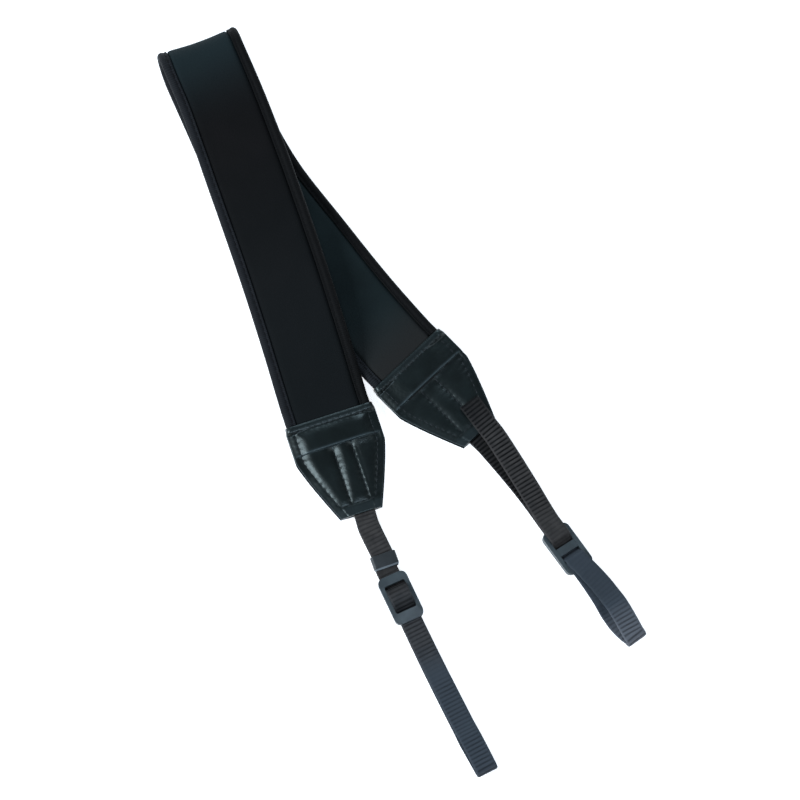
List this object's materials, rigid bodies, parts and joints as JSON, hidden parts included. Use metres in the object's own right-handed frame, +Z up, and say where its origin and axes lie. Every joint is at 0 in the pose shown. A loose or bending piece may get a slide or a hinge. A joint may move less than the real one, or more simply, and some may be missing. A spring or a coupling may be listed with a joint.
{
  "type": "camera neck strap",
  "caption": "Padded camera neck strap with bound edges, folded and lying flat, with stitched leather ends and adjustable webbing loops.",
  "frame": {"origin": "middle of the strap's outline on the surface that it lies on", "axes": "+Z up from the surface, +Y towards the fold, -Y towards the webbing loops, +X to the right in the picture"},
  "size_m": [0.2225, 0.3489, 0.0246],
  "materials": {
    "neoprene": "matt knit-faced neoprene foam, near black",
    "binding": "matt folded binding tape, near black",
    "leather": "black grained leather with a soft sheen and sewn seams",
    "webbing": "black woven polyester webbing with cross ribs",
    "plastic": "satin black moulded acetal"
  },
  "bodies": {
    "root": {"neck_pad": "neoprene", "binding_right": "binding", "binding_left": "binding", "leather_end_front": "leather", "leather_end_back": "leather", "webbing_front": "webbing", "webbing_back": "webbing", "slider_front": "plastic", "slider_back": "plastic", "keeper_front": "plastic"}
  },
  "joints": []
}
